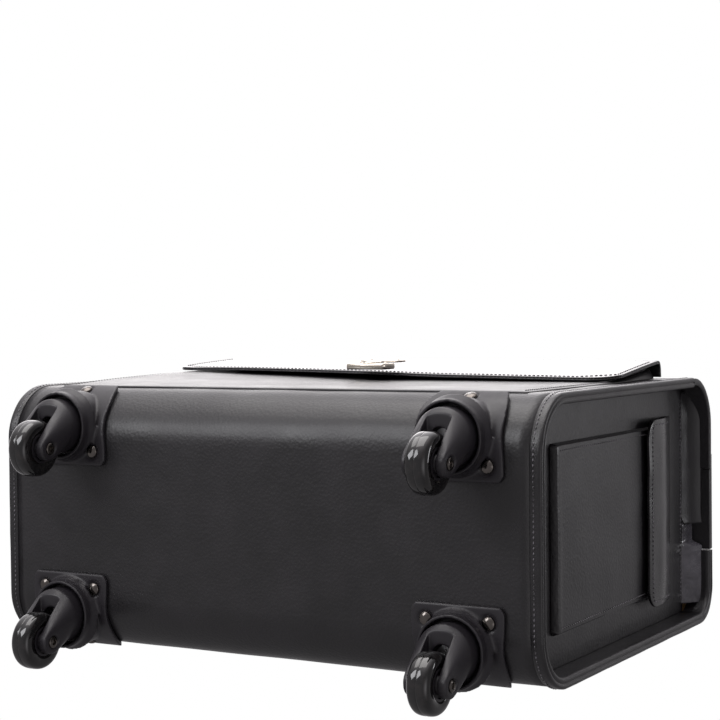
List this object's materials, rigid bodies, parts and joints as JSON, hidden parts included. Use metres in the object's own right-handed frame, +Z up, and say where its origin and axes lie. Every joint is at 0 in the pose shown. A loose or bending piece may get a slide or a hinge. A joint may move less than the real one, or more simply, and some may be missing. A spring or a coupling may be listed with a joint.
{
  "type": "pilot rolling flight case",
  "caption": "Leather-covered pilot case on swivel castors, with a two-flap top, flap pockets at the front and ends, a carry handle and a telescoping trolley handle.",
  "frame": {"origin": "on the floor, below the middle of the whole object's box", "axes": "+X along the case's length to its right end, +Y from the pocket side to the back, +Z up"},
  "size_m": [0.455, 0.2232, 0.4269],
  "materials": {
    "leather": "fine-grained, semi-gloss",
    "board": "plywood, unfinished",
    "lining_fabric": "woven, matt",
    "nickel": "polished nickel plate",
    "steel": "zinc plated",
    "aluminium_tube": "satin anodised",
    "black_plastic": "fine spark-eroded texture",
    "tread": "moulded polyurethane, glossy"
  },
  "bodies": {
    "case": {"carcass": "board", "outer_cover": "leather", "lining": "lining_fabric", "rear_partition": "board", "divider": "lining_fabric", "end_panel_left": "leather", "end_panel_right": "leather", "end_gusset_left": "leather", "end_gusset_right": "leather", "rim_binding_left": "leather", "rim_binding_right": "leather", "front_pocket": "leather", "pocket_lock_plate": "nickel", "end_pocket_left": "leather", "end_pocket_right": "leather", "trolley_tray": "black_plastic", "trolley_outer_tubes": "aluminium_tube", "trolley_foot": "black_plastic", "caster_kingpins": "steel", "caster_bearings": "steel", "caster_rivets": "nickel", "caster_housing_fl": "black_plastic", "caster_housing_fr": "black_plastic", "caster_housing_bl": "black_plastic", "caster_housing_br": "black_plastic"},
    "front_flap": {"front_flap": "leather", "lock_cases": "nickel"},
    "lock_button_left": {"lock_button_left": "nickel"},
    "lock_button_right": {"lock_button_right": "nickel"},
    "rear_flap": {"rear_flap": "leather", "lock_hasps": "nickel", "handle_mounts": "nickel"},
    "carry_handle": {"carry_handle": "leather", "handle_rings": "nickel"},
    "pocket_flap": {"pocket_flap": "leather", "pocket_lock_hasp": "nickel"},
    "pocket_lock_button": {"pocket_lock_button": "nickel"},
    "end_flap_left": {"end_flap_left": "leather"},
    "end_flap_right": {"end_flap_right": "leather"},
    "trolley_middle": {"trolley_middle_tubes": "aluminium_tube"},
    "trolley_inner": {"trolley_inner_tubes": "aluminium_tube", "trolley_grip": "black_plastic"},
    "trolley_button": {"trolley_button": "nickel"},
    "fork_fl": {"fork_fl": "black_plastic", "axle_fl": "steel"},
    "wheel_fl": {"hub_fl": "black_plastic", "tyre_fl": "tread"},
    "fork_fr": {"fork_fr": "black_plastic", "axle_fr": "steel"},
    "wheel_fr": {"hub_fr": "black_plastic", "tyre_fr": "tread"},
    "fork_bl": {"fork_bl": "black_plastic", "axle_bl": "steel"},
    "wheel_bl": {"hub_bl": "black_plastic", "tyre_bl": "tread"},
    "fork_br": {"fork_br": "black_plastic", "axle_br": "steel"},
    "wheel_br": {"hub_br": "black_plastic", "tyre_br": "tread"}
  },
  "joints": [
    {"name": "rear_flap_fold", "type": "hinge", "parent": "case", "child": "rear_flap", "pos_m": [0, 0.04715, 0.4079], "axis": [-1, 0, 0], "range_deg": [0, 90]},
    {"name": "front_flap_fold", "type": "hinge", "parent": "case", "child": "front_flap", "pos_m": [0, -0.09485, 0.363], "axis": [1, 0, 0], "range_deg": [0, 76.6]},
    {"name": "lock_button_left_slide", "type": "slide", "parent": "front_flap", "child": "lock_button_left", "axis": [-1, 0, 0], "range_m": [0, 0.007], "stiffness_N_per_m": 150},
    {"name": "lock_button_right_slide", "type": "slide", "parent": "front_flap", "child": "lock_button_right", "axis": [1, 0, 0], "range_m": [0, 0.007], "stiffness_N_per_m": 150},
    {"name": "carry_handle_swing", "type": "hinge", "parent": "rear_flap", "child": "carry_handle", "pos_m": [0, 0.02815, 0.4195], "axis": [-1, 0, 0], "range_deg": [0, 165]},
    {"name": "pocket_flap_fold", "type": "hinge", "parent": "case", "child": "pocket_flap", "pos_m": [0, -0.09655, 0.3475], "axis": [-1, 0, 0], "range_deg": [0, 90]},
    {"name": "pocket_lock_press", "type": "slide", "parent": "case", "child": "pocket_lock_button", "axis": [0, 1, 0], "range_m": [0, 0.001], "stiffness_N_per_m": 400},
    {"name": "end_flap_left_fold", "type": "hinge", "parent": "case", "child": "end_flap_left", "pos_m": [-0.2107, 0.00615, 0.347], "axis": [0, 1, 0], "range_deg": [0, 90]},
    {"name": "end_flap_right_fold", "type": "hinge", "parent": "case", "child": "end_flap_right", "pos_m": [0.2107, 0.00615, 0.347], "axis": [0, -1, 0], "range_deg": [0, 90]},
    {"name": "trolley_middle_slide", "type": "slide", "parent": "case", "child": "trolley_middle", "axis": [0, 0, 1], "range_m": [0, 0.23]},
    {"name": "trolley_inner_slide", "type": "slide", "parent": "trolley_middle", "child": "trolley_inner", "axis": [0, 0, 1], "range_m": [0, 0.23]},
    {"name": "trolley_button_press", "type": "slide", "parent": "trolley_inner", "child": "trolley_button", "axis": [0, 0, -1], "range_m": [0, 0.0025], "stiffness_N_per_m": 400},
    {"name": "swivel_fl", "type": "hinge", "parent": "case", "child": "fork_fl", "pos_m": [-0.165, -0.06735, 0.051], "axis": [0, 0, 1], "continuous": true},
    {"name": "wheel_fl_roll", "type": "hinge", "parent": "fork_fl", "child": "wheel_fl", "pos_m": [-0.165, -0.05235, 0.021], "axis": [1, 0, 0], "continuous": true},
    {"name": "swivel_fr", "type": "hinge", "parent": "case", "child": "fork_fr", "pos_m": [0.165, -0.06735, 0.051], "axis": [0, 0, 1], "continuous": true},
    {"name": "wheel_fr_roll", "type": "hinge", "parent": "fork_fr", "child": "wheel_fr", "pos_m": [0.165, -0.05235, 0.021], "axis": [1, 0, 0], "continuous": true},
    {"name": "swivel_bl", "type": "hinge", "parent": "case", "child": "fork_bl", "pos_m": [-0.165, 0.07565, 0.051], "axis": [0, 0, 1], "continuous": true},
    {"name": "wheel_bl_roll", "type": "hinge", "parent": "fork_bl", "child": "wheel_bl", "pos_m": [-0.165, 0.09065, 0.021], "axis": [1, 0, 0], "continuous": true},
    {"name": "swivel_br", "type": "hinge", "parent": "case", "child": "fork_br", "pos_m": [0.165, 0.07565, 0.051], "axis": [0, 0, 1], "continuous": true},
    {"name": "wheel_br_roll", "type": "hinge", "parent": "fork_br", "child": "wheel_br", "pos_m": [0.165, 0.09065, 0.021], "axis": [1, 0, 0], "continuous": true}
  ],
  "couplings": [
    {"joint": "front_flap_fold", "follows": "rear_flap_fold", "ratio": 0.85}
  ]
}
